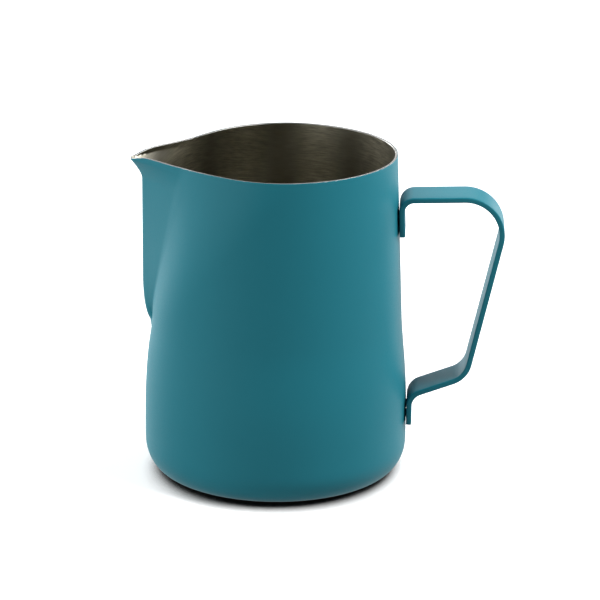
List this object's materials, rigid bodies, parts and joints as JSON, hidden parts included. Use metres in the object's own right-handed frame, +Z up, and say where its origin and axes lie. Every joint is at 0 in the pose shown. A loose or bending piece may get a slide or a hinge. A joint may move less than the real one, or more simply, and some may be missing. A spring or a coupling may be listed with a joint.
{
  "type": "milk frothing pitcher",
  "caption": "Round steel frothing pitcher with a pressed V spout, a tapered belly, a bent strip handle and a coloured powder coat outside.",
  "frame": {"origin": "centre of the flat base, on the surface that the pitcher stands on", "axes": "+Z up along the cup's axis, +X towards the handle, so the spout points along -X"},
  "size_m": [0.1272, 0.0902, 0.1112],
  "materials": {
    "stainless": "fine circular brushing inside, bare lip edge and base",
    "teal_coat": "satin teal powder coat with a fine orange-peel texture",
    "handle_steel": "bent flat bar, wholly under the coat",
    "weld": "fused spots hidden between the tabs and the wall"
  },
  "bodies": {
    "root": {"pitcher_shell": "stainless", "body_coat": "teal_coat", "handle_strip": "handle_steel", "handle_coat": "teal_coat", "upper_handle_welds": "weld", "lower_handle_welds": "weld"}
  },
  "joints": []
}
